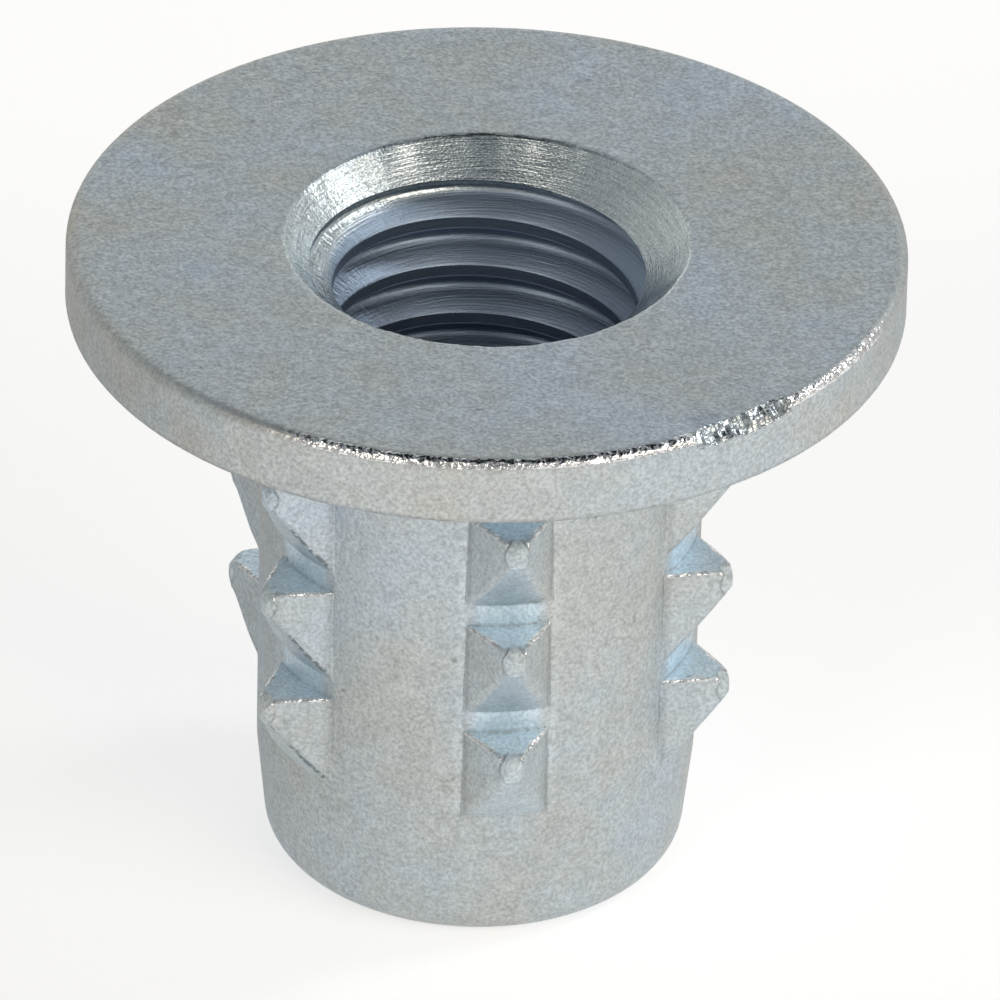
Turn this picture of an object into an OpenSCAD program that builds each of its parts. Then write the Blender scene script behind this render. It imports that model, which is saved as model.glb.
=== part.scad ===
// Knock-in threaded insert for wood, M8, one zinc die casting.
//
// A round flange sits on a slim sleeve whose end tapers and rounds off, to find the
// hole. The sleeve carries columns of shark-fin barbs: each has a level ledge towards
// the flange, which bites when the insert is pulled, and a sloped underside, which lets
// it slide in. The bore is drawn at the crests of the thread, with a countersink.
// The insert stands on its sleeve end, and the origin is the centre of that end.

/* [Flange] */
// Diameter of the flange
flange_d = 18.6; // [14:0.1:26]
// Thickness of the flange
flange_t = 1.6; // [1:0.1:3]
// Rounding of the flange's upper edge
rim_top_r = 0.25; // [0.05:0.05:0.4]
// Rounding of the flange's lower edge
rim_low_r = 0.15; // [0.05:0.05:0.4]

/* [Sleeve] */
// Overall length, flange and sleeve together
length = 15.5; // [14.5:0.5:30]
// Diameter of the sleeve just under the flange
sleeve_d = 9.9; // [9.5:0.1:11]
// Draft of the sleeve, in degrees on each side
sleeve_draft = 0.2; // [0:0.1:0.5]
// Rounding between the sleeve and the flange
neck_r = 0.2; // [0.05:0.05:0.5]
// Height of the tapered end
taper_h = 2.6; // [1.2:0.1:3]
// Lean of the tapered end, in degrees on each side
taper_angle = 6; // [2:0.5:6]
// Rounding of the very end
end_r = 0.85; // [0.2:0.05:0.85]

/* [Bore] */
// Diameter of the bore at the crests of the thread
bore_d = 6.8; // [5:0.1:6.8]
// Diameter of the countersink at the flange's face
countersink_d = 9; // [7.4:0.1:10]
// Full angle of the countersink
countersink_angle = 90; // [60:5:120]

/* [Barbs] */
// Columns of barbs around the sleeve
barb_columns = 6; // [3:1:8]
// Barbs in each column
barb_rows = 3; // [1:1:3]
// Distance from the flange to the ledge of the first barb
barb_start = 2.6; // [0.6:0.1:3]
// Distance from one ledge to the next in a column
barb_pitch = 2.8; // [2.5:0.05:3]
// Height of one barb on the sleeve
barb_h = 2.25; // [1.6:0.05:2.4]
// Width of one barb on the sleeve
barb_w = 1.85; // [1.2:0.05:2.2]
// Diameter over the noses of the barbs
barb_d = 12.1; // [11.6:0.1:14]
// Rounding of a barb's nose, seen from the side
nose_r = 0.4; // [0.1:0.05:0.45]
// Rounding of a barb's nose, seen from above
nose_plan_r = 0.3; // [0.1:0.05:0.45]

/* [Hidden] */
$fn = 96;

// Steps in each rounded corner of the turned section
corner_steps = 8;
// Steps round the nose of a barb
nose_steps = 6;
// How far a barb's root runs into the sleeve, so that no gap is left behind it
root_sink = 0.35;

flange_z = length - flange_t;
flange_rad = flange_d / 2;
bore_rad = bore_d / 2;
countersink_rad = countersink_d / 2;
countersink_depth = (countersink_rad - bore_rad) / tan(countersink_angle / 2);
barb_rad = barb_d / 2;

// Radius of the drafted sleeve at height z
function sleeve_rad(z) = sleeve_d / 2 - (flange_z - z) * tan(sleeve_draft);

// Radius of the tapered end at height z
function taper_rad(z) = sleeve_rad(taper_h) - (taper_h - z) * tan(taper_angle);

// Points of an arc of radius r about (x, z), from angle a to angle b
function arc(x, z, r, a, b, steps) = [
    for (i = [0:steps])
        let (t = a + (b - a) * i / steps)
        [x + r * cos(t), z + r * sin(t)]
];

// Lean, in degrees, of the line from a corner that just touches the nose's circle of
// radius r, whose centre lies run outwards from the corner and rise to its side
function lean(run, rise, r) = atan2(rise, run) - asin(r / norm([run, rise]));

// Half section of the casting without its barbs, turned about the axis
module half_section() {
    end_rad = taper_rad(end_r) - end_r / cos(taper_angle);
    neck_z = flange_z - neck_r;
    neck_rad = sleeve_rad(neck_z) + neck_r / cos(sleeve_draft);
    rim_low_rad = flange_rad - rim_low_r;
    rim_top_rad = flange_rad - rim_top_r;
    polygon(concat(
        [[bore_rad, 0]],
        arc(end_rad, end_r, end_r, -90, -taper_angle, corner_steps),
        [[sleeve_rad(taper_h), taper_h]],
        arc(neck_rad, neck_z, neck_r, 180 - sleeve_draft, 90, corner_steps),
        arc(rim_low_rad, flange_z + rim_low_r, rim_low_r, -90, 0, corner_steps),
        arc(rim_top_rad, length - rim_top_r, rim_top_r, 0, 90, corner_steps),
        [[countersink_rad, length], [bore_rad, length - countersink_depth]]
    ));
}

// Plan of one barb, pointing along +X: it narrows from the sleeve to a round nose
module barb_plan(wall, root) {
    nose_x = barb_rad - nose_plan_r;
    side = lean(nose_x - wall, barb_w / 2, nose_plan_r);
    half = barb_w / 2 + (wall - root) * tan(side);
    polygon(concat(
        [[root, -half]],
        arc(nose_x, 0, nose_plan_r, side - 90, 90 - side, nose_steps),
        [[root, half]]
    ));
}

// Side of one barb, pointing along +X: level ledge, round nose, sloped underside
module barb_side(wall, root) {
    nose_x = barb_rad - nose_r;
    slope = lean(nose_x - wall, barb_h - nose_r, nose_r);
    polygon(concat(
        [[root, -barb_h - (wall - root) * tan(slope)]],
        arc(nose_x, -nose_r, nose_r, slope - 90, 90, nose_steps),
        [[root, 0]]
    ));
}

// One barb on the +X side of the sleeve, with its ledge at height z
module barb(z) {
    wall = sleeve_rad(z);
    root = wall - root_sink;
    span = 2 * barb_h + barb_w;
    intersection() {
        translate([0, 0, z - span])
            linear_extrude(2 * span)
                barb_plan(wall, root);
        translate([0, 0, z])
            rotate([90, 0, 0])
                linear_extrude(2 * span, center = true)
                    barb_side(wall, root);
    }
}

// Every barb: the first column faces -Y
module barbs() {
    for (column = [0:barb_columns - 1], row = [0:barb_rows - 1])
        rotate(column * 360 / barb_columns - 90)
            barb(flange_z - barb_start - row * barb_pitch);
}

module insert() {
    color("#9aa3a8")
        union() {
            rotate_extrude() half_section();
            barbs();
        }
}

insert();
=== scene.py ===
import math

import bmesh
import bpy
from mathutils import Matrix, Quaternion, Vector, noise


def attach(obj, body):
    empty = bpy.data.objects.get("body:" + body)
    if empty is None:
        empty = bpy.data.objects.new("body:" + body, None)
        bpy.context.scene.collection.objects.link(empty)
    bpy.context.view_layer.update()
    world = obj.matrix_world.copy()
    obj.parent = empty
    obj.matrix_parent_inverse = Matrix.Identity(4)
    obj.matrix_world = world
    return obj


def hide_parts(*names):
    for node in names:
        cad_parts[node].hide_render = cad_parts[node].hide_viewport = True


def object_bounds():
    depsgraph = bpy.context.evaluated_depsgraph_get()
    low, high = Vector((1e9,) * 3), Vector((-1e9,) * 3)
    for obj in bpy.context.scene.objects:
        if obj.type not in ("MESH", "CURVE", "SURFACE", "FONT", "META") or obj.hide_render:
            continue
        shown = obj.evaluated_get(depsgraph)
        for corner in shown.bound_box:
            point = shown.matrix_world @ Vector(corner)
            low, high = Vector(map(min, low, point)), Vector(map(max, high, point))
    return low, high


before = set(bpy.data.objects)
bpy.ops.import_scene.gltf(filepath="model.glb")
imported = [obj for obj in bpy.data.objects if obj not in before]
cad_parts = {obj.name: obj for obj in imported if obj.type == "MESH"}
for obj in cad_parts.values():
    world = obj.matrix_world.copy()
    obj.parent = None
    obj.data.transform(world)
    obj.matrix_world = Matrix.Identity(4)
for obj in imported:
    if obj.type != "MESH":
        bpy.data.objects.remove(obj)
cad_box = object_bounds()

# The camera: a very long lens 37 cm away that looks down at the flange at about 31
# degrees, so that the flange's outline is an almost true ellipse.
TURN = math.radians(-8.07)        # the front column of barbs stands this far off the view
RISE = 0.548497                   # camera above the flange's face, in radians
AWAY = 0.372                      # from the middle of the flange's face, in metres
AIM_RIGHT = 0.00113286            # the aim beside and below that middle, in radians
AIM_UP = -0.0154837
ROLL = 0.0250946                  # in radians
SENSOR, LENS = 36, 607            # in millimetres

flange_face = Vector((0, 0, cad_box[1][2]))
level = math.cos(RISE)
towards = Vector((math.sin(TURN) * level, -math.cos(TURN) * level, math.sin(RISE)))
right = (-towards).cross(Vector((0, 0, 1))).normalized()
up = right.cross(-towards)
look = (-towards + AIM_RIGHT * right + AIM_UP * up).normalized()

bpy.ops.object.select_all(action="DESELECT")
bpy.ops.object.camera_add(location=flange_face + AWAY * towards)
camera = bpy.context.object
camera.name = "camera"
camera.rotation_mode = "QUATERNION"
camera.rotation_quaternion = look.to_track_quat("-Z", "Y") @ Quaternion((0, 0, 1), ROLL)
camera.data.sensor_width = SENSOR
camera.data.lens = LENS
camera.data.clip_start = 0.01
bpy.context.scene.camera = camera


# The room: a matt white card for a floor, three soft lamps, and a sky that is white
# round the horizon, greyer and then dark overhead, and dimmer at the left, right and front.
def put(tree, kind, settings=(), inputs=()):
    """Adds one shader node with its settings, and its inputs from values or sockets."""
    node = tree.nodes.new("ShaderNode" + kind)
    for name, value in dict(settings).items():
        setattr(node, name, value)
    for name, value in dict(inputs).items():
        if isinstance(value, bpy.types.Node):
            value = value.outputs[0]
        if isinstance(value, bpy.types.NodeSocket):
            tree.links.new(value, node.inputs[name])
        else:
            node.inputs[name].default_value = value
    return node


def tint(code):
    """Turns an sRGB hex colour to linear."""
    parts = [int(code[i:i + 2], 16) / 255 for i in (1, 3, 5)]
    return tuple(p / 12.92 if p <= 0.04045 else ((p + 0.055) / 1.055) ** 2.4 for p in parts) + (1,)


sky = bpy.data.worlds.new("sky")
bpy.context.scene.world = sky
sky.use_nodes = True
tree = sky.node_tree
tree.nodes.clear()
place = put(tree, "TexCoord")
height = put(tree, "SeparateXYZ", inputs={0: place.outputs["Generated"]})
ramp = put(tree, "ValToRGB", inputs={0: height.outputs["Z"]})
SKY = ((0.10, "#fffdf9"), (0.45, "#e2e3e1"), (0.65, "#cdd0d1"), (0.85, "#a2a8ad"),
       (0.95, "#0f1114"))
for position, code in SKY:
    stop = ramp.color_ramp.elements.new(position)
    stop.color = tint(code)
ramp.color_ramp.elements.remove(ramp.color_ramp.elements[0])
ramp.color_ramp.elements.remove(ramp.color_ramp.elements[-1])
left = put(tree, "MapRange", inputs={"Value": height.outputs["X"], "From Min": -1.0,
                                     "From Max": 0.1, "To Min": 0.45, "To Max": 1.0})
front = put(tree, "MapRange", inputs={"Value": height.outputs["Y"], "From Min": -0.9,
                                      "From Max": 0.0, "To Min": 0.55, "To Max": 1.0})
right_side = put(tree, "MapRange", inputs={"Value": height.outputs["X"], "From Min": 0.2,
                                           "From Max": 0.8, "To Min": 1.0, "To Max": 0.6})
dim = put(tree, "Math", {"operation": "MULTIPLY"}, {0: left, 1: front})
dim = put(tree, "Math", {"operation": "MULTIPLY"}, {0: dim, 1: right_side})
light = put(tree, "Background", inputs={"Color": ramp.outputs["Color"], "Strength": dim})
put(tree, "OutputWorld", inputs={"Surface": light})

# The card is lifted towards white for the eye. In the metal's reflections it glows in
# front of the fastener and is dim behind it.
LIFT = 0.5
BEHIND, BEHIND_GLOW = -0.012, 0.08
IN_FRONT, IN_FRONT_GLOW = 0.015, 0.49
card = bpy.data.materials.new("matt_white_card")
card.use_nodes = True
tree = card.node_tree
tree.nodes.clear()
paper = put(tree, "BsdfDiffuse", inputs={"Color": tint("#eeeeee")})
rays = put(tree, "LightPath")
seen = put(tree, "Math", {"operation": "MAXIMUM"},
           {0: rays.outputs["Is Camera Ray"], 1: rays.outputs["Is Glossy Ray"]})
seen = put(tree, "Math", {"operation": "MAXIMUM"},
           {0: seen, 1: rays.outputs["Is Transmission Ray"]})
point = put(tree, "TexCoord").outputs["Object"]
side = put(tree, "VectorMath", {"operation": "DOT_PRODUCT"},
           {0: point, 1: (0.25, -0.97, 0)}).outputs["Value"]
near = put(tree, "MapRange", inputs={"Value": side, "From Min": BEHIND, "From Max": IN_FRONT,
                                     "To Min": BEHIND_GLOW, "To Max": IN_FRONT_GLOW})
lift = put(tree, "Math", {"operation": "MULTIPLY"}, {0: rays.outputs["Is Glossy Ray"], 1: near})
lift = put(tree, "Mix", inputs={0: rays.outputs["Is Glossy Ray"], 2: LIFT, 3: lift})
lift = put(tree, "Math", {"operation": "MULTIPLY"}, {0: seen, 1: lift})
glow = put(tree, "Emission", inputs={"Color": tint("#ffffff"), "Strength": lift})
both = put(tree, "AddShader", inputs={0: paper, 1: glow})
put(tree, "OutputMaterial", inputs={"Surface": both})

bpy.ops.mesh.primitive_plane_add(size=6, location=(0, 0, cad_box[0][2]))
floor = bpy.context.object
floor.name = "floor"
floor.data.materials.append(card)


def lamp(name, place, wide, high, power, colour):
    """A softbox that faces the fastener, wide and high in metres."""
    bpy.ops.object.light_add(type="AREA", location=place)
    light = bpy.context.object
    light.name = name
    light.data.shape = "RECTANGLE"
    light.data.size = wide
    light.data.size_y = high
    light.data.energy = power
    light.data.color = tint(colour)[:3]
    light.rotation_mode = "QUATERNION"
    light.rotation_quaternion = (Vector((0, 0, 0.012)) - Vector(place)).to_track_quat("-Z", "Y")


lamp("softbox_right", (0.427, 0.075, 0.347), 0.12, 0.12, 0.36, "#ffffff")
lamp("softbox_front_left", (-0.488, -0.542, 0.46), 0.36, 0.30, 1.0, "#fff3e2")
lamp("softbox_front_right", (0.488, -0.542, 0.46), 0.70, 0.30, 1.8, "#fff3e2")

# The insert: one zinc die casting, flange, sleeve and barbs together. Its hole is
# drilled, countersunk and tapped M8 afterwards, and the whole is zinc plated.
# It is drawn in millimetres, and brought to metres when it is done.
MM = 0.001
LENGTH, FLANGE_R, FLANGE_T = 15.5, 9.3, 1.6
SLEEVE_R, SLEEVE_DRAFT = 4.95, math.radians(0.2)
TAPER_H, TAPER_LEAN, END_R = 2.6, math.radians(6), 0.85
RIM_TOP_R, RIM_LOW_R, NECK_R = 0.25, 0.15, 0.2
LEDGES, ROW_STEP, COLUMN_STEP = (11.3, 8.5, 5.7), 2.8, 60
BARB_H, BARB_W, BARB_HALF_ANGLE = 2.25, 1.85, 10
NOSE_R, NOSE_X = 0.4, 5.65
NOSE_PLAN_R, NOSE_PLAN_X = 0.3, 5.75
SLEEVE_BARB_HALF = 0.9368         # half the patch of sleeve that a barb is drawn from
BORE_R, THREAD_ROOT_R, PITCH = 3.4, 4.0, 1.25
SEGMENTS = 132
CLOSE = 0.01                      # points nearer than this count as the same place

flange_z = LENGTH - FLANGE_T


def sleeve_r(z):
    """Radius of the drafted sleeve at a height."""
    return SLEEVE_R - (flange_z - z) * math.tan(SLEEVE_DRAFT)


def taper_r(z):
    """Radius of the tapered end at a height."""
    return sleeve_r(TAPER_H) - (TAPER_H - z) * math.tan(TAPER_LEAN)


def corner(r, z, size, start, stop, steps):
    """Points on an arc of the section, between two angles in degrees."""
    turns = [math.radians(start + (stop - start) * i / steps) for i in range(steps + 1)]
    return [(r + size * math.cos(t), z + size * math.sin(t)) for t in turns]


section = corner(taper_r(END_R) - END_R / math.cos(TAPER_LEAN), END_R, END_R, -90, -6, 10)
section += [(taper_r(z), z) for z in (END_R + 0.1, TAPER_H - 0.08)]
heights = [TAPER_H + 0.08, flange_z - NECK_R - 0.12, *LEDGES] + [z - BARB_H for z in LEDGES]
section += [(sleeve_r(z), z) for z in sorted(heights)]
section += corner(sleeve_r(flange_z - NECK_R) + NECK_R, flange_z - NECK_R, NECK_R, 179.8, 90, 5)
section += [(r, flange_z) for r in (5.3, 7.2, FLANGE_R - RIM_LOW_R - 0.1)]
section += corner(FLANGE_R - RIM_LOW_R, flange_z + RIM_LOW_R, RIM_LOW_R, -90, 0, 4)
section += [(FLANGE_R, z) for z in (flange_z + RIM_LOW_R + 0.1, LENGTH - RIM_TOP_R - 0.1)]
section += corner(FLANGE_R - RIM_TOP_R, LENGTH - RIM_TOP_R, RIM_TOP_R, 0, 90, 6)
section += [(r, LENGTH) for r in (FLANGE_R - RIM_TOP_R - 0.08, 8.2, 7.4, 6.6, 5.8, 5.1, 4.7, 4.56)]

bpy.ops.object.select_all(action="DESELECT")
bpy.ops.mesh.primitive_circle_add(vertices=SEGMENTS, radius=section[0][0], fill_type="NGON",
                                  location=(0, 0, 0))
insert = bpy.context.object
insert.name = "zinc_insert"
bpy.ops.object.mode_set(mode="EDIT")
bpy.ops.mesh.select_all(action="SELECT")
for (r0, z0), (r1, z1) in zip(section, section[1:]):
    bpy.ops.mesh.extrude_region_move(TRANSFORM_OT_translate={"value": (0, 0, z1 - z0)})
    bpy.ops.transform.resize(value=(r1 / r0, r1 / r0, 1), center_override=(0, 0, z1))
bpy.ops.mesh.select_all(action="SELECT")
bpy.ops.mesh.normals_make_consistent(inside=False)


def column_angle(place):
    """How far a point stands from the middle of the nearest column of barbs, in degrees."""
    turn = (math.degrees(math.atan2(place.y, place.x)) + 90) % COLUMN_STEP
    return min(turn, COLUMN_STEP - turn)


def column_turn(place):
    """The direction of the column of barbs nearest to a point."""
    column = round((math.degrees(math.atan2(place.y, place.x)) + 90) / COLUMN_STEP)
    return math.radians(COLUMN_STEP * column - 90)


def row_ledge(place):
    """The ledge's height in the row that a point lies in, or 0 above the rows."""
    over = [z for z in LEDGES if z > place.z - CLOSE]
    return min(over, key=lambda z: z - place.z, default=0)


def pick(kind, wanted):
    """Selects the vertices, edges or faces for which wanted is true, and nothing else."""
    bpy.ops.mesh.select_mode(type=kind)
    bpy.ops.mesh.select_all(action="DESELECT")
    mesh = bmesh.from_edit_mesh(bpy.context.object.data)
    for item in {"VERT": mesh.verts, "EDGE": mesh.edges, "FACE": mesh.faces}[kind]:
        if wanted(item):
            item.select_set(True)
    mesh.select_flush_mode()
    bmesh.update_edit_mesh(bpy.context.object.data)


def barb_base(face):
    """Whether a face of the sleeve lies where a barb is to grow."""
    centre = face.calc_center_median()
    on_row = any(z - BARB_H < centre.z < z for z in LEDGES)
    return on_row and abs(face.normal.z) < 0.5 and column_angle(centre) < BARB_HALF_ANGLE


# Each barb is drawn out of a patch of the sleeve, ring by ring: a level ledge on top, a
# sloped underside, and a nose that is round both from above and from the side.
def lean(run, rise, size):
    """The angle of a line from a corner that just touches the nose's circle."""
    return math.atan2(rise, run) - math.asin(size / math.hypot(run, rise))


def barb_ring(x, wall):
    """Half width, top and bottom of a barb at a distance from the axis, below its ledge."""
    side = lean(NOSE_PLAN_X - wall, BARB_W / 2, NOSE_PLAN_R)
    side_x = NOSE_PLAN_X + NOSE_PLAN_R * math.sin(side)
    if x > side_x:
        half = math.sqrt(max(0, NOSE_PLAN_R ** 2 - (x - NOSE_PLAN_X) ** 2))
    else:
        half = NOSE_PLAN_R * math.cos(side) + (side_x - x) * math.tan(side)
    slope = lean(NOSE_X - wall, BARB_H - NOSE_R, NOSE_R)
    slope_x = NOSE_X + NOSE_R * math.sin(slope)
    chord = math.sqrt(max(0, NOSE_R ** 2 - (x - NOSE_X) ** 2)) if x > NOSE_X else NOSE_R
    low = chord if x > slope_x else NOSE_R * math.cos(slope) + (slope_x - x) * math.tan(slope)
    return half, NOSE_R - chord, NOSE_R + low


pick("FACE", barb_base)
bpy.ops.mesh.dissolve_faces()
RINGS = (5.3, 5.65, 5.75, 5.84, 5.91, 5.97, 6.01, 6.035)
for x in RINGS:
    bpy.ops.mesh.extrude_region_move()
    mesh = bmesh.from_edit_mesh(insert.data)
    for vert in [v for v in mesh.verts if v.select]:
        turn, ledge = column_turn(vert.co), row_ledge(vert.co)
        out = Vector((math.cos(turn), math.sin(turn), 0))
        across = Vector((-out.y, out.x, 0))
        u = vert.co.dot(across)
        before = abs(vert.co.dot(out))
        if x == RINGS[0]:
            widest, top, low = SLEEVE_BARB_HALF, 0, BARB_H
        else:
            widest, top, low = barb_ring(before, sleeve_r(ledge))
        upper = vert.co.z > ledge - 0.5 * (top + low)
        half, top, low = barb_ring(x, sleeve_r(ledge))
        vert.co = x * out + u / widest * half * across
        vert.co.z = ledge - (top if upper else low)
    bmesh.update_edit_mesh(insert.data)


def radius(place):
    """How far a point lies from the axis."""
    return math.hypot(place.x, place.y)


def barb_place(place):
    """A point in the frame of its barb: outwards, across, and below the ledge."""
    turn = column_turn(place)
    out = place.x * math.cos(turn) + place.y * math.sin(turn)
    across = place.y * math.cos(turn) - place.x * math.sin(turn)
    return out, across, row_ledge(place) - place.z


def on_sleeve(vert):
    return abs(radius(vert.co) - sleeve_r(vert.co.z)) < CLOSE


def on_barb(edge):
    """Whether an edge lies within the heights of the barbs."""
    low, high = LEDGES[-1] - BARB_H - CLOSE, LEDGES[0] + CLOSE
    return all(low < v.co.z < high for v in edge.verts)


def root_edge(edge):
    """Whether a barb meets the sleeve in an edge, other than that of its ledge."""
    outer = [f for f in edge.link_faces if any(not on_sleeve(v) for v in f.verts)]
    on_ledge = all(abs(row_ledge(v.co) - v.co.z) < CLOSE for v in edge.verts)
    return on_barb(edge) and len(outer) == 1 and not on_ledge


RIDGE_END = 5.85                  # the ridges fade into the nose from here out


def ridge_edge(edge):
    """Whether an edge is one of the four long ridges of a barb."""
    if not on_barb(edge) or all(on_sleeve(v) for v in edge.verts):
        return False
    ends = [barb_place(v.co) for v in edge.verts]
    if abs(ends[0][0] - ends[1][0]) < CLOSE:
        return False
    for vert, (x, y, z) in zip(edge.verts, ends):
        half, top, low = barb_ring(x, sleeve_r(vert.co.z + z))
        if on_sleeve(vert):
            half, top, low = SLEEVE_BARB_HALF, 0, BARB_H
        beyond = abs(abs(y) - half) > CLOSE or min(abs(z - top), abs(z - low)) > CLOSE
        if x > RIDGE_END or beyond:
            return False
    return True


def under_ridge(edge):
    """Whether an edge is one of the two ridges under a barb."""
    return ridge_edge(edge) and all(barb_place(v.co)[2] > 0.5 for v in edge.verts)


pick("EDGE", root_edge)
bpy.ops.transform.edge_bevelweight(value=0.3)
pick("EDGE", ridge_edge)
bpy.ops.transform.edge_bevelweight(value=0.45)
pick("EDGE", under_ridge)
bpy.ops.transform.edge_bevelweight(value=0.2)
bpy.ops.object.mode_set(mode="OBJECT")
rounding = insert.modifiers.new("rounding", "BEVEL")
rounding.limit_method = "WEIGHT"
rounding.width = 0.2
rounding.segments = 4
rounding.use_clamp_overlap = False
bpy.ops.object.modifier_apply(modifier="rounding")

# The noses are blunt and round, as the die leaves them.
def on_nose(face):
    """Whether a face is part of a barb's nose."""
    centre = face.calc_center_median()
    return barb_place(centre)[0] > NOSE_X + 0.02 and 3 < centre.z < 11.5


bpy.ops.object.mode_set(mode="EDIT")
pick("FACE", on_nose)
bpy.ops.mesh.subdivide(number_cuts=2)
bpy.ops.mesh.vertices_smooth(factor=0.5, repeat=6)
bpy.ops.object.mode_set(mode="OBJECT")

# The gate that fed the casting was broken off the flange's edge, and left a rough facet.
GATE_FROM, GATE_TO = -68.1, -51.7          # its two ends, in degrees round the axis
GATE_CUT = 24.47                           # radius plus height where the facet cuts the edge
GATE_R, GATE_Z = 8.9, 15.1                 # it lies outside and above these


def gate_turn(place):
    """0 at one end of the broken gate and 1 at the other."""
    return (math.degrees(math.atan2(place.y, place.x)) - GATE_FROM) / (GATE_TO - GATE_FROM)


def at_gate(face):
    """Whether a face is wholly inside the broken gate."""
    centre = face.calc_center_median()
    inside = radius(centre) > GATE_R + 0.08 and centre.z > GATE_Z + 0.06
    return inside and 0 < gate_turn(centre) < 1


bpy.ops.object.mode_set(mode="EDIT")
pick("FACE", at_gate)
bpy.ops.mesh.subdivide(number_cuts=7)
mesh = bmesh.from_edit_mesh(insert.data)
for vert in mesh.verts:
    t = gate_turn(vert.co)
    r = radius(vert.co)
    if r > GATE_R and vert.co.z > GATE_Z and 0 < t < 1:
        ragged = noise.noise(Vector((26 * t, 0.8 * (r - vert.co.z), 0)))
        torn = noise.noise(Vector((8 * t, 3 * (r - vert.co.z), 5)))
        limit = GATE_CUT + 0.16 * abs(2 * t - 1) ** 6 + 0.07 * ragged + 0.06 * torn
        over = (r + vert.co.z - limit) / 2
        if over > 0:
            vert.co.x *= (r - over) / r
            vert.co.y *= (r - over) / r
            vert.co.z -= over
bmesh.update_edit_mesh(insert.data)
bpy.ops.object.mode_set(mode="OBJECT")

# The countersink and the thread are cut by tools of their own shapes. The tap is one
# pitch of thread wound up the hole, and it runs out a little above the sleeve's end.
CONE_R, CONE_H = 4.4, 1.5
bpy.ops.object.select_all(action="DESELECT")
bpy.ops.mesh.primitive_cone_add(
    vertices=2 * SEGMENTS, location=(0, 0, 0),
    radius1=CONE_R - CONE_H, radius2=CONE_R, depth=CONE_H)
cone = bpy.context.object
bpy.ops.object.mode_set(mode="EDIT")
bpy.ops.mesh.select_all(action="SELECT")
bpy.ops.transform.translate(value=(0, 0, LENGTH - 0.1 - CONE_H / 2))
pick("FACE", lambda face: face.normal.z > 0.9)
mouth = [(CONE_R, -0.1), (4.45, -0.05), (4.485, -0.023), (4.53, -0.008), (4.6, 0.01), (4.6, 0.2)]
for (r0, z0), (r1, z1) in zip(mouth, mouth[1:]):
    bpy.ops.mesh.extrude_region_move(TRANSFORM_OT_translate={"value": (0, 0, z1 - z0)})
    bpy.ops.transform.resize(value=(r1 / r0, r1 / r0, 1), center_override=(0, 0, LENGTH + z1))
mesh = bmesh.from_edit_mesh(cone.data)
for vert in mesh.verts:
    if vert.co.z > LENGTH - 0.06:
        wander = 1 + 0.006 * noise.noise(3 * vert.co) + 0.005 * noise.noise(9 * vert.co)
        vert.co.x *= wander
        vert.co.y *= wander
bmesh.update_edit_mesh(cone.data)
bpy.ops.mesh.select_all(action="SELECT")
bpy.ops.mesh.normals_make_consistent(inside=False)
bpy.ops.object.mode_set(mode="OBJECT")

CREST_HALF, ROOT_HALF = 0.155, 0.1225
CREST_ANGLE, CREST_DOWN = 81.93, 1.665     # a crest passes here, this far below the face
TURNS, RUN_OUT_Z = 15, 0.9
profile = [(BORE_R, 0.0), (BORE_R, CREST_HALF - 0.03), (BORE_R + 0.04, CREST_HALF + 0.03),
           (THREAD_ROOT_R - 0.16, PITCH / 2 - ROOT_HALF - 0.0924),
           (THREAD_ROOT_R - 0.07, PITCH / 2 - 0.152),
           (THREAD_ROOT_R - 0.02, PITCH / 2 - 0.088), (THREAD_ROOT_R, PITCH / 2),
           (THREAD_ROOT_R - 0.02, PITCH / 2 + 0.088), (THREAD_ROOT_R - 0.07, PITCH / 2 + 0.152),
           (THREAD_ROOT_R - 0.16, PITCH / 2 + ROOT_HALF + 0.0924),
           (BORE_R + 0.04, PITCH - CREST_HALF - 0.03), (BORE_R, PITCH - CREST_HALF + 0.03),
           (BORE_R, PITCH)]
start_z = LENGTH - CREST_DOWN - PITCH * CREST_ANGLE / 360 - (TURNS - 2) * PITCH
bpy.ops.mesh.primitive_plane_add(size=0.1, location=(0, 0, 0))
tap = bpy.context.object
bpy.ops.object.mode_set(mode="EDIT")
bpy.ops.mesh.select_all(action="SELECT")
bpy.ops.mesh.merge(type="CENTER")
bpy.ops.mesh.select_mode(type="VERT")
bpy.ops.mesh.select_all(action="SELECT")
bpy.ops.transform.translate(value=(profile[0][0], 0, start_z))
for (r0, z0), (r1, z1) in zip(profile, profile[1:]):
    bpy.ops.mesh.extrude_region_move(TRANSFORM_OT_translate={"value": (r1 - r0, 0, z1 - z0)})
bpy.ops.object.mode_set(mode="OBJECT")
winding = tap.modifiers.new("winding", "SCREW")
winding.axis = "Z"
winding.angle = math.radians(360)
winding.screw_offset = PITCH
winding.iterations = TURNS
winding.steps = 96
winding.render_steps = 96
winding.use_normal_calculate = True
bpy.ops.object.modifier_apply(modifier="winding")
bpy.ops.object.mode_set(mode="EDIT")
bpy.ops.mesh.select_all(action="SELECT")
bpy.ops.mesh.remove_doubles(threshold=0.0005)
for z, above in ((-0.4, False), (LENGTH - 0.2, True)):
    bpy.ops.mesh.select_all(action="SELECT")
    bpy.ops.mesh.bisect(
        plane_co=(0, 0, z), plane_no=(0, 0, 1), use_fill=True, threshold=1e-5,
        clear_inner=not above, clear_outer=above)
mesh = bmesh.from_edit_mesh(tap.data)
for vert in mesh.verts:
    most = BORE_R + max(0, vert.co.z - RUN_OUT_Z)
    r = radius(vert.co)
    if r > most:
        vert.co.x *= most / r
        vert.co.y *= most / r
bmesh.update_edit_mesh(tap.data)
bpy.ops.mesh.select_all(action="SELECT")
bpy.ops.mesh.normals_make_consistent(inside=False)
bpy.ops.object.mode_set(mode="OBJECT")

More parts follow.
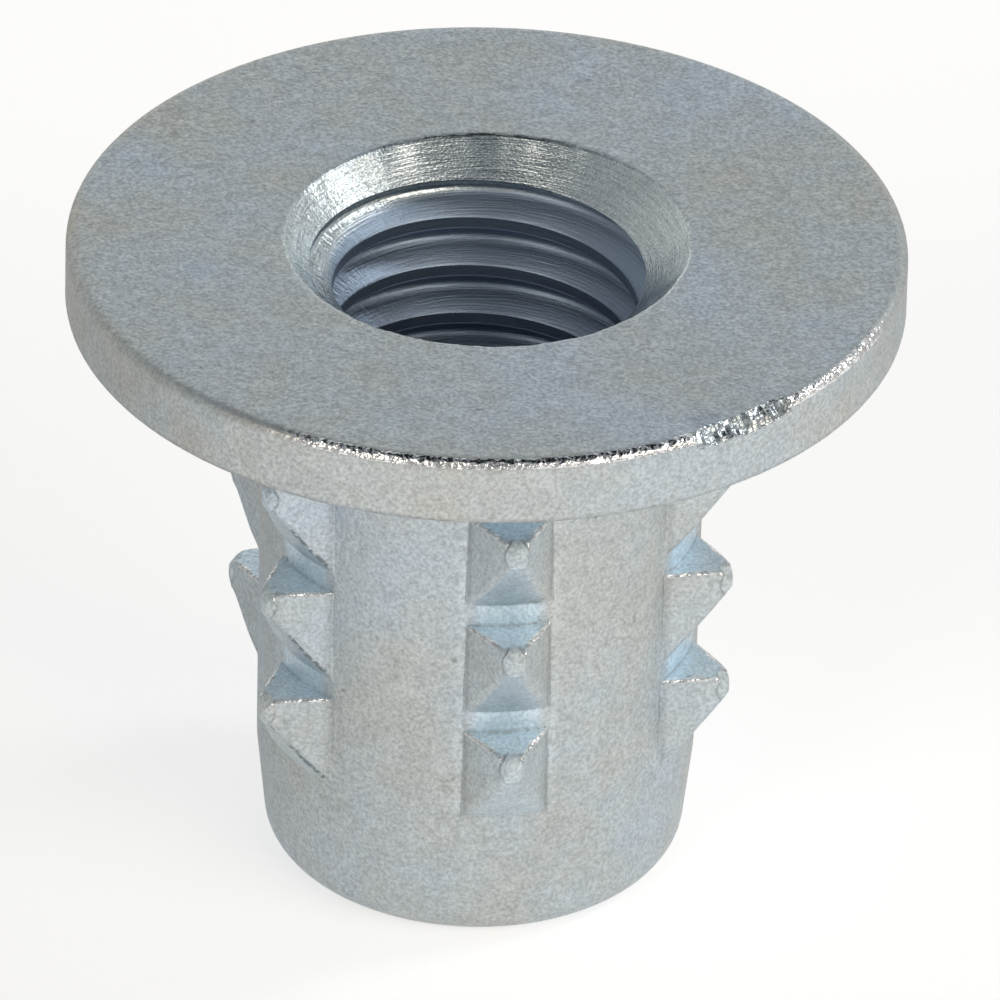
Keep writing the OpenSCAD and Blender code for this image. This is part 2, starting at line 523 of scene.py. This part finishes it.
bpy.ops.object.select_all(action="DESELECT")
bpy.context.view_layer.objects.active = insert
insert.select_set(True)
for tool in (cone, tap):
    cut = insert.modifiers.new("cut", "BOOLEAN")
    cut.operation = "DIFFERENCE"
    cut.solver = "EXACT"
    cut.object = tool
    bpy.ops.object.modifier_apply(modifier="cut")
    bpy.data.objects.remove(tool)

# Tumbling with other castings burnishes the outside edges. Their narrow faces are marked 1
# for the finish to paint glints on, the broken gate 2 or more, and a crease under barbs 0.5
# for painted shade.
bpy.ops.object.mode_set(mode="EDIT")
mesh = bmesh.from_edit_mesh(insert.data)
burnish_glint_gate_and_shade_marks = mesh.faces.layers.float.new("burnish_glint_gate_and_shade_marks")
for face in mesh.faces:
    bends = [e.calc_face_angle_signed(0) for e in face.edges]
    narrow = sum(math.radians(9) < bend < math.radians(50) for bend in bends) >= 2
    centre = face.calc_center_median()
    on_barb_face = 5 < radius(centre) < 5.9
    on_lip = on_barb_face and barb_place(centre)[2] < 0.12 and face.normal.z > 0.1
    torn = radius(centre) + centre.z > 24.3 and centre.z < 15.49 and 0 < gate_turn(centre) < 1
    on_rim = radius(centre) > 9 and centre.z > 15.2
    face[burnish_glint_gate_and_shade_marks] = float(narrow and (on_rim or on_lip)) + 2 * float(torn)
    # Down-facing narrow faces of the left column are marked 0.5 for painted shade.
    in_left_column = centre.x < -3.5 and -4 < centre.y < -1
    if narrow and on_barb_face and face.normal.z < -0.1 and in_left_column:
        face[burnish_glint_gate_and_shade_marks] = 0.5
bmesh.update_edit_mesh(insert.data)
bpy.ops.mesh.select_all(action="SELECT")
bpy.ops.transform.resize(value=(MM, MM, MM), center_override=(0, 0, 0))
bpy.ops.object.mode_set(mode="OBJECT")
bpy.ops.object.shade_smooth_by_angle(angle=math.radians(28))

# Zinc plated die casting, as cast: the grain of the die gives a satin face with a
# leathery, speckled look. The clear passivate is straw on the walls and blue in the
# hollows round the barbs, which are also painted lighter as painted reflection, and the
# tumbled edges are smooth enough to glint, with painted glints laid on them.
SPECKLE, LEATHER, CLOUD, BEAD = 0.085 * MM, 0.45 * MM, 4.2 * MM, 0.16 * MM
cast = bpy.data.materials.new("zinc_plated_casting")
cast.use_nodes = True
tree = cast.node_tree
tree.nodes.clear()

# Where a point lies: out from the axis, beside the middle of its column of barbs, and
# below the ledge of its row.
where = put(tree, "TexCoord").outputs
place = where["Object"]
apart = put(tree, "VectorMath", {"operation": "ADD"}, {0: place, 1: (0.03, 0.01, 0.02)})
axes = put(tree, "SeparateXYZ", inputs={0: place}).outputs
facing = put(tree, "SeparateXYZ", inputs={0: where["Normal"]}).outputs["Z"]
flat = put(tree, "VectorMath", {"operation": "MULTIPLY"}, {0: place, 1: (1, 1, 0)})
reach = put(tree, "VectorMath", {"operation": "LENGTH"}, {0: flat}).outputs["Value"]
turn = put(tree, "Math", {"operation": "ARCTAN2"}, {0: axes["Y"], 1: axes["X"]})
turn = put(tree, "Math", {"operation": "ADD"}, {0: turn, 1: math.radians(90)})
turn = put(tree, "Math", {"operation": "WRAP"},
           {0: turn, 1: math.radians(COLUMN_STEP / 2), 2: -math.radians(COLUMN_STEP / 2)})
beside = put(tree, "Math", {"operation": "SINE"}, {0: turn})
beside = put(tree, "Math", {"operation": "MULTIPLY"}, {0: beside, 1: reach})
beside = put(tree, "Math", {"operation": "ABSOLUTE"}, {0: beside})
below = put(tree, "Math", {"operation": "SUBTRACT"}, {0: LEDGES[-1] * MM, 1: axes["Z"]})
below = put(tree, "Math", {"operation": "WRAP"},
            {0: below, 1: BARB_H * MM, 2: (BARB_H - ROW_STEP) * MM})

# The hollows, painted lighter and bluer, partly the blue passivate and partly painted
# reflection: the gaps between the rows of barbs, their ledges and their undersides.
rows = put(tree, "MapRange",
           inputs={"Value": axes["Z"], "From Min": 3.45 * MM, "From Max": 3.5 * MM})
top_row = put(tree, "MapRange",
              inputs={"Value": axes["Z"], "From Min": 12.0 * MM, "From Max": 11.8 * MM})
rows = put(tree, "Math", {"operation": "MULTIPLY"}, {0: rows, 1: top_row})
gap = put(tree, "MapRange", {"interpolation_type": "SMOOTHSTEP"},
          {"Value": beside, "From Min": 0.95 * MM, "From Max": 0.55 * MM})
gap_high = put(tree, "MapRange", {"interpolation_type": "SMOOTHSTEP"},
               {"Value": below, "From Min": 0.04 * MM, "From Max": -0.12 * MM})
gap = put(tree, "Math", {"operation": "MULTIPLY"}, {0: gap, 1: gap_high})
gap = put(tree, "Math", {"operation": "MULTIPLY"}, {0: gap, 1: rows})
on_sleeve_part = put(tree, "MapRange",
                     inputs={"Value": axes["Z"], "From Min": 13.0 * MM, "From Max": 12.8 * MM})
ledge = put(tree, "MapRange", inputs={"Value": facing, "From Min": 0.9, "From Max": 0.98})
ledge = put(tree, "Math", {"operation": "MULTIPLY"}, {0: ledge, 1: on_sleeve_part})
blue_film_and_painted_light = put(tree, "Math", {"operation": "MAXIMUM"}, {0: gap, 1: ledge})
underside = put(tree, "MapRange",
                inputs={"Value": facing, "From Min": -0.35, "From Max": -0.6, "To Max": 0.5})
underside = put(tree, "Math", {"operation": "MULTIPLY"}, {0: underside, 1: rows})
blue_film_and_painted_light = put(tree, "Math", {"operation": "MAXIMUM"}, {0: blue_film_and_painted_light, 1: underside})
barb_face = put(tree, "MapRange",
                inputs={"Value": reach, "From Min": 5.0 * MM, "From Max": 5.1 * MM, "To Max": 0.1})
barb_face = put(tree, "Math", {"operation": "MULTIPLY"}, {0: barb_face, 1: rows})
blue_film_and_painted_light = put(tree, "Math", {"operation": "MAXIMUM"}, {0: blue_film_and_painted_light, 1: barb_face})

# The grains and patches of the finish.
speckle = put(tree, "TexNoise",
              inputs={"Vector": place, "Scale": 1 / SPECKLE, "Detail": 2.0, "Roughness": 0.6})
leather = put(tree, "TexNoise",
              inputs={"Vector": apart, "Scale": 1 / LEATHER, "Detail": 4.0, "Roughness": 0.6})
clouds = put(tree, "TexNoise",
             inputs={"Vector": apart, "Scale": 1 / CLOUD, "Detail": 5.0, "Roughness": 0.6})
walls = put(tree, "MapRange", inputs={"Value": axes["Z"], "From Min": 15.45 * MM,
                                      "From Max": 15.3 * MM, "To Min": 0.35, "To Max": 0.32})
rim = put(tree, "MapRange",
          inputs={"Value": reach, "From Min": 8.9 * MM, "From Max": 9.2 * MM, "To Max": 0.3})
straw = put(tree, "MapRange", inputs={"Value": clouds, "From Min": 0.35, "From Max": 0.65,
                                      "To Min": -0.45, "To Max": 0.4})
warmth = put(tree, "Math", {"operation": "ADD"}, {0: walls, 1: rim})
warmth = put(tree, "Math", {"operation": "ADD", "use_clamp": True}, {0: warmth, 1: straw})
base = put(tree, "Mix", {"data_type": "RGBA"},
           {0: warmth, 6: tint("#cbd6df"), 7: tint("#cecec8")}).outputs[2]
# Painted reflection: the hollows mix towards a lighter blue than the walls, over the real blue of
# the film.
base = put(tree, "Mix", {"data_type": "RGBA"}, {0: blue_film_and_painted_light, 6: base, 7: tint("#e4f4ff")}).outputs[2]
shade = put(tree, "MapRange", inputs={"Value": speckle, "From Min": 0.30, "From Max": 0.66,
                                      "To Min": 0.79, "To Max": 1.08})
folds = put(tree, "MapRange", inputs={"Value": leather, "From Min": 0.35, "From Max": 0.65,
                                      "To Min": 0.92, "To Max": 1.02})
shade = put(tree, "Math", {"operation": "MULTIPLY"}, {0: shade, 1: folds})
pores = put(tree, "TexVoronoi", inputs={"Vector": place, "Scale": 1 / (1.1 * MM)})
rare = put(tree, "SeparateXYZ", inputs={0: pores.outputs["Color"]})
rare = put(tree, "Math", {"operation": "GREATER_THAN"}, {0: rare, 1: 0.7})
pore = put(tree, "MapRange", inputs={"Value": pores.outputs["Distance"], "From Min": 0.075,
                                     "From Max": 0.03, "To Max": 0.35})
pore = put(tree, "Math", {"operation": "MULTIPLY"}, {0: pore, 1: rare})
hair = put(tree, "TexNoise",
           inputs={"Vector": place, "Scale": 1 / (2.6 * MM), "Detail": 3.0, "Roughness": 0.45})
hair = put(tree, "Math", {"operation": "SUBTRACT"}, {0: hair, 1: 0.5})
hair = put(tree, "Math", {"operation": "ABSOLUTE"}, {0: hair})
hair = put(tree, "MapRange",
           inputs={"Value": hair, "From Min": 0.004, "From Max": 0.001, "To Max": 0.12})
some = put(tree, "MapRange", inputs={"Value": clouds, "From Min": 0.56, "From Max": 0.6})
hair = put(tree, "Math", {"operation": "MULTIPLY"}, {0: hair, 1: some})
flaw = put(tree, "Math", {"operation": "ADD"}, {0: pore, 1: hair})
flaw = put(tree, "Math", {"operation": "SUBTRACT"}, {0: 1.0, 1: flaw})
shade = put(tree, "Math", {"operation": "MULTIPLY"}, {0: shade, 1: flaw})

# A painted highlight frames each barb and a dark line runs in its root; the blunt end of
# each nose is a matt round spot, lighter with painted highlight; painted shade darkens
# the flange's lower edge.
# Painted highlight: a band just beside each barb is made 8% lighter.
painted_frame_highlight = put(tree, "MapRange", inputs={"Value": beside, "From Min": 0.95 * MM,
                                            "From Max": 1.0 * MM, "To Max": 0.08})
frame_end = put(tree, "MapRange",
                inputs={"Value": beside, "From Min": 1.2 * MM, "From Max": 1.08 * MM})
painted_frame_highlight = put(tree, "Math", {"operation": "MULTIPLY"}, {0: painted_frame_highlight, 1: frame_end})
root = put(tree, "MapRange",
           inputs={"Value": beside, "From Min": 0.85 * MM, "From Max": 0.91 * MM, "To Max": -0.14})
root_end = put(tree, "MapRange",
               inputs={"Value": beside, "From Min": 0.98 * MM, "From Max": 0.93 * MM})
root = put(tree, "Math", {"operation": "MULTIPLY"}, {0: root, 1: root_end})
root_high = put(tree, "MapRange",
                inputs={"Value": below, "From Min": -0.02 * MM, "From Max": 0.05 * MM})
root = put(tree, "Math", {"operation": "MULTIPLY"}, {0: root, 1: root_high})
strip = put(tree, "Math", {"operation": "ADD"}, {0: painted_frame_highlight, 1: root})
strip = put(tree, "Math", {"operation": "MULTIPLY"}, {0: strip, 1: rows})
spot_across = put(tree, "Math", {"operation": "DIVIDE"}, {0: beside, 1: 0.27 * MM})
spot_down = put(tree, "Math", {"operation": "SUBTRACT"}, {0: below, 1: 0.36 * MM})
spot_down = put(tree, "Math", {"operation": "DIVIDE"}, {0: spot_down, 1: 0.36 * MM})
spot = put(tree, "CombineXYZ", inputs={"X": spot_across, "Y": spot_down})
spot = put(tree, "VectorMath", {"operation": "LENGTH"}, {0: spot}).outputs["Value"]
spot = put(tree, "MapRange", inputs={"Value": spot, "From Min": 1.06, "From Max": 0.94})
out_here = put(tree, "MapRange",
               inputs={"Value": reach, "From Min": 5.7 * MM, "From Max": 5.8 * MM})
spot = put(tree, "Math", {"operation": "MULTIPLY"}, {0: spot, 1: out_here})
spot = put(tree, "Math", {"operation": "MULTIPLY"}, {0: spot, 1: rows})
# Painted highlight: the nose spot is made 16% lighter; its added roughness and bump are real.
pale = put(tree, "Math", {"operation": "MULTIPLY_ADD"}, {0: spot, 1: 0.16, 2: strip})
# Painted shade: a patchy dark band along the flange's lower edge, under the rim.
painted_edge_shade = put(tree, "MapRange", inputs={"Value": axes["Z"], "From Min": 14.08 * MM,
                                     "From Max": 13.95 * MM, "To Max": -0.35})
on_edge = put(tree, "Math", {"operation": "GREATER_THAN"}, {0: reach, 1: 9.0 * MM})
painted_edge_shade = put(tree, "Math", {"operation": "MULTIPLY"}, {0: painted_edge_shade, 1: on_edge})
patchy = put(tree, "MapRange", inputs={"Value": leather, "From Min": 0.35, "From Max": 0.6})
painted_edge_shade = put(tree, "Math", {"operation": "MULTIPLY"}, {0: painted_edge_shade, 1: patchy})
pale = put(tree, "Math", {"operation": "ADD"}, {0: pale, 1: painted_edge_shade})
pale = put(tree, "Math", {"operation": "ADD"}, {0: pale, 1: 1.0})
shade = put(tree, "Math", {"operation": "MULTIPLY"}, {0: shade, 1: pale})
base = put(tree, "VectorMath", {"operation": "SCALE"}, {0: base, "Scale": shade})

# The tumbled edges are smooth and beaded and get a near-white painted glint, on the rim
# only along its front; the broken gate is streaked dark, and the crease has painted shade.
marks = put(tree, "Attribute", {"attribute_name": "burnish_glint_gate_and_shade_marks"}).outputs["Fac"]
torn = put(tree, "Math", {"operation": "GREATER_THAN"}, {0: marks, 1: 1.5})
edges = put(tree, "Math", {"operation": "COMPARE"}, {0: marks, 1: 1.0, 2: 0.4})
# The painted glint is kept to the front of the rim, and to the whole sleeve.
painted_glint_front = put(tree, "VectorMath", {"operation": "DOT_PRODUCT"},
             {0: place, 1: (0.233, -0.972, 0)}).outputs["Value"]
painted_glint_front = put(tree, "MapRange", inputs={"Value": painted_glint_front, "From Min": 5.6 * MM, "From Max": 6.6 * MM})
painted_glint_front = put(tree, "Math", {"operation": "MAXIMUM"}, {0: painted_glint_front, 1: on_sleeve_part})
edges = put(tree, "Math", {"operation": "MULTIPLY"}, {0: edges, 1: painted_glint_front})
# Painted shade: the marked crease faces are darkened in broken streaks.
painted_crease_shade = put(tree, "Math", {"operation": "COMPARE"}, {0: marks, 1: 0.5, 2: 0.2})
streak = put(tree, "TexNoise", inputs={"Vector": place, "Scale": 1 / (0.12 * MM), "Detail": 2.0})
dark = put(tree, "MapRange", inputs={"Value": streak, "From Min": 0.35, "From Max": 0.65,
                                     "To Min": 0.5, "To Max": 1.15})
dark = put(tree, "VectorMath", {"operation": "SCALE"}, {0: base, "Scale": dark})
base = put(tree, "Mix", {"data_type": "RGBA"}, {0: torn, 6: base, 7: dark}).outputs[2]
broken = put(tree, "MapRange", inputs={"Value": streak, "From Min": 0.4, "From Max": 0.55})
painted_crease_shade = put(tree, "Math", {"operation": "MULTIPLY"}, {0: painted_crease_shade, 1: broken})
base = put(tree, "Mix", {"data_type": "RGBA"}, {0: painted_crease_shade, 6: base, 7: tint("#8b969b")}).outputs[2]
beads = put(tree, "TexNoise", inputs={"Vector": place, "Scale": 1 / BEAD, "Detail": 1.0})
painted_glint = put(tree, "MapRange", inputs={"Value": beads, "From Min": 0.42, "From Max": 0.56,
                                      "To Min": 0.75, "To Max": 1.0})
painted_glint = put(tree, "VectorMath", {"operation": "SCALE"}, {0: tint("#f6f7f8")[:3], "Scale": painted_glint})
base = put(tree, "Mix", {"data_type": "RGBA"}, {0: edges, 6: base, 7: painted_glint}).outputs[2]
rough = put(tree, "MapRange", inputs={"Value": speckle, "From Min": 0.35, "From Max": 0.65,
                                      "To Min": 0.56, "To Max": 0.42})
rough = put(tree, "Math", {"operation": "MULTIPLY_ADD"}, {0: spot, 1: 0.2, 2: rough})
rough = put(tree, "Mix", inputs={0: edges, 2: rough, 3: 0.16})
rough = put(tree, "Mix", inputs={0: torn, 2: rough, 3: 0.22})
relief = put(tree, "Bump", inputs={"Strength": edges, "Distance": 0.055 * MM, "Height": beads})
relief = put(tree, "Bump",
             inputs={"Strength": 1.0, "Distance": 0.05 * MM, "Height": spot, "Normal": relief})
relief = put(tree, "Bump",
             inputs={"Strength": 1.0, "Distance": 0.03 * MM, "Height": leather, "Normal": relief})
relief = put(tree, "Bump",
             inputs={"Strength": 1.0, "Distance": 0.012 * MM, "Height": speckle, "Normal": relief})
skin = put(tree, "BsdfPrincipled",
           inputs={"Base Color": base, "Metallic": 1.0, "Roughness": rough, "Normal": relief})
put(tree, "OutputMaterial", inputs={"Surface": skin})

# The same zinc where it was drilled, countersunk and tapped before plating: bluer in the
# thread and darker there with painted shade, with fine rings left by the tool and faint
# chatter across them.
TOOL_RING, CHATTER, GRIT = 0.06 * MM, 0.13 * MM, 0.055 * MM
cut_face = bpy.data.materials.new("zinc_plated_cut_face")
cut_face.use_nodes = True
tree = cut_face.node_tree
tree.nodes.clear()
place = put(tree, "TexCoord").outputs["Object"]
flat = put(tree, "VectorMath", {"operation": "MULTIPLY"}, {0: place, 1: (1, 1, 0)})
round_way = put(tree, "VectorMath", {"operation": "NORMALIZE"}, {0: flat})
reach = put(tree, "VectorMath", {"operation": "LENGTH"}, {0: flat}).outputs["Value"]
rise = put(tree, "SeparateXYZ", inputs={0: place}).outputs["Z"]
depth = put(tree, "Math", {"operation": "ADD"}, {0: reach, 1: rise})
way = put(tree, "VectorMath", {"operation": "SCALE"}, {0: round_way, "Scale": 3.0})
along = put(tree, "Math", {"operation": "DIVIDE"}, {0: depth, 1: TOOL_RING})
along = put(tree, "CombineXYZ", inputs={"Z": along})
way = put(tree, "VectorMath", {"operation": "ADD"}, {0: way, 1: along})
rings = put(tree, "TexNoise", inputs={"Vector": way, "Scale": 1.0, "Detail": 3.0})
way = put(tree, "VectorMath", {"operation": "SCALE"}, {0: round_way, "Scale": 4.2 * MM / CHATTER})
along = put(tree, "Math", {"operation": "DIVIDE"}, {0: depth, 1: 0.4 * MM})
along = put(tree, "CombineXYZ", inputs={"Z": along})
way = put(tree, "VectorMath", {"operation": "ADD"}, {0: way, 1: along})
ticks = put(tree, "TexNoise", inputs={"Vector": way, "Scale": 1.0, "Detail": 3.0})
grit = put(tree, "TexNoise", inputs={"Vector": place, "Scale": 1 / GRIT, "Detail": 2.0})
in_cone = put(tree, "MapRange",
              inputs={"Value": rise, "From Min": 14.30 * MM, "From Max": 14.42 * MM})
by_side = put(tree, "SeparateXYZ", inputs={0: round_way}).outputs["X"]
by_side = put(tree, "MapRange", inputs={"Value": by_side, "From Min": -0.3, "From Max": -0.9,
                                        "To Min": 0.003 * MM, "To Max": 0.035 * MM})
relief = put(tree, "Bump", inputs={"Strength": 1.0, "Distance": 0.010 * MM, "Height": rings})
relief = put(tree, "Bump",
             inputs={"Strength": 1.0, "Distance": by_side, "Height": ticks, "Normal": relief})
coarse = put(tree, "Mix", inputs={0: in_cone, 2: 0.005 * MM, 3: 0.009 * MM})
relief = put(tree, "Bump",
             inputs={"Strength": 1.0, "Distance": coarse, "Height": grit, "Normal": relief})
# Painted shade: the thread is coloured far darker than the countersink, down the hole.
colour = put(tree, "Mix", {"data_type": "RGBA"},
             {0: in_cone, 6: tint("#9cacbf"), 7: tint("#e2ecf0")}).outputs[2]
worn = put(tree, "MapRange", inputs={"Value": grit, "From Min": 0.35, "From Max": 0.65,
                                     "To Min": 0.72, "To Max": 1.05})
lines = put(tree, "MapRange", inputs={"Value": rings, "From Min": 0.35, "From Max": 0.65,
                                      "To Min": 0.8, "To Max": 1.05})
worn = put(tree, "Math", {"operation": "MULTIPLY"}, {0: worn, 1: lines})
worn = put(tree, "Mix", inputs={0: in_cone, 2: 1.0, 3: worn})
colour = put(tree, "VectorMath", {"operation": "SCALE"}, {0: colour, "Scale": worn})
shine = put(tree, "Mix", inputs={0: in_cone, 2: 0.46, 3: 0.25})
metal = put(tree, "BsdfPrincipled",
            inputs={"Base Color": colour, "Metallic": 1.0, "Roughness": shine, "Normal": relief})
put(tree, "OutputMaterial", inputs={"Surface": metal})

insert.data.materials.clear()
insert.data.materials.append(cast)
insert.data.materials.append(cut_face)
MOUTH_R, END_BORE_R, END_H = 4.54 * MM, 3.5 * MM, 1 * MM
for face in insert.data.polygons:
    in_hole = radius(face.center) < (MOUTH_R if face.center.z > END_H else END_BORE_R)
    face.material_index = int(in_hole and abs(face.normal.z) < 0.95)

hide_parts("insert")
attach(insert, "root")

bpy.context.scene.view_settings.view_transform = "Standard"
